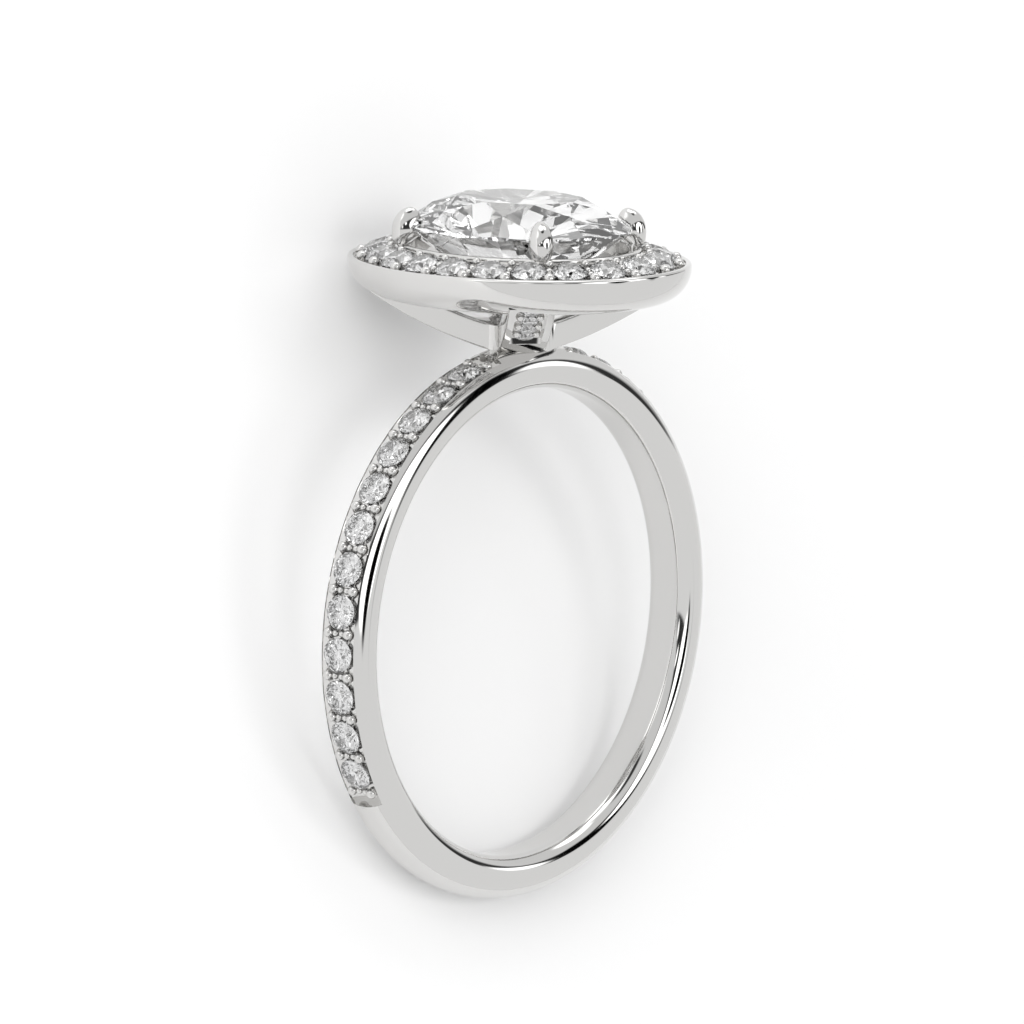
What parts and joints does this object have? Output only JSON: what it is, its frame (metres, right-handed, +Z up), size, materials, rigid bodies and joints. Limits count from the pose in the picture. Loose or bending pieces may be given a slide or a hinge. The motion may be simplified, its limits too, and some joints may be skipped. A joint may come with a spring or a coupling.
{
  "type": "halo ring",
  "caption": "Finger ring lying on its side: oval stone in four claws over a sloping halo of small stones, on four curved legs and a narrow stone-set band.",
  "frame": {"origin": "on the surface the ring lies on, under the centre of its outline seen from above", "axes": "+Z up from that surface, +Y towards the head with the centre stone, +X along the width of the head; the finger's axis leans back from +Z by the lying angle"},
  "size_m": [0.0206, 0.026, 0.0131],
  "materials": {
    "white_gold": "mirror polish",
    "centre_diamond": "cut and polished",
    "small_diamonds": "cut and polished"
  },
  "bodies": {
    "root": {"mount": "white_gold", "centre_stone": "centre_diamond", "left_shoulder_stones": "small_diamonds", "right_shoulder_stones": "small_diamonds", "halo_stone_01": "small_diamonds", "halo_stone_02": "small_diamonds", "halo_stone_03": "small_diamonds", "halo_stone_04": "small_diamonds", "halo_stone_05": "small_diamonds", "halo_stone_06": "small_diamonds", "halo_stone_07": "small_diamonds", "halo_stone_08": "small_diamonds", "halo_stone_09": "small_diamonds", "halo_stone_10": "small_diamonds", "halo_stone_11": "small_diamonds", "halo_stone_12": "small_diamonds", "halo_stone_13": "small_diamonds", "halo_stone_14": "small_diamonds", "halo_stone_15": "small_diamonds", "halo_stone_16": "small_diamonds", "halo_stone_17": "small_diamonds", "halo_stone_18": "small_diamonds", "halo_stone_19": "small_diamonds", "halo_stone_20": "small_diamonds", "halo_stone_21": "small_diamonds", "halo_stone_22": "small_diamonds", "basket_stones_1": "small_diamonds", "basket_stones_2": "small_diamonds", "basket_stones_3": "small_diamonds", "basket_stones_4": "small_diamonds"}
  },
  "joints": []
}
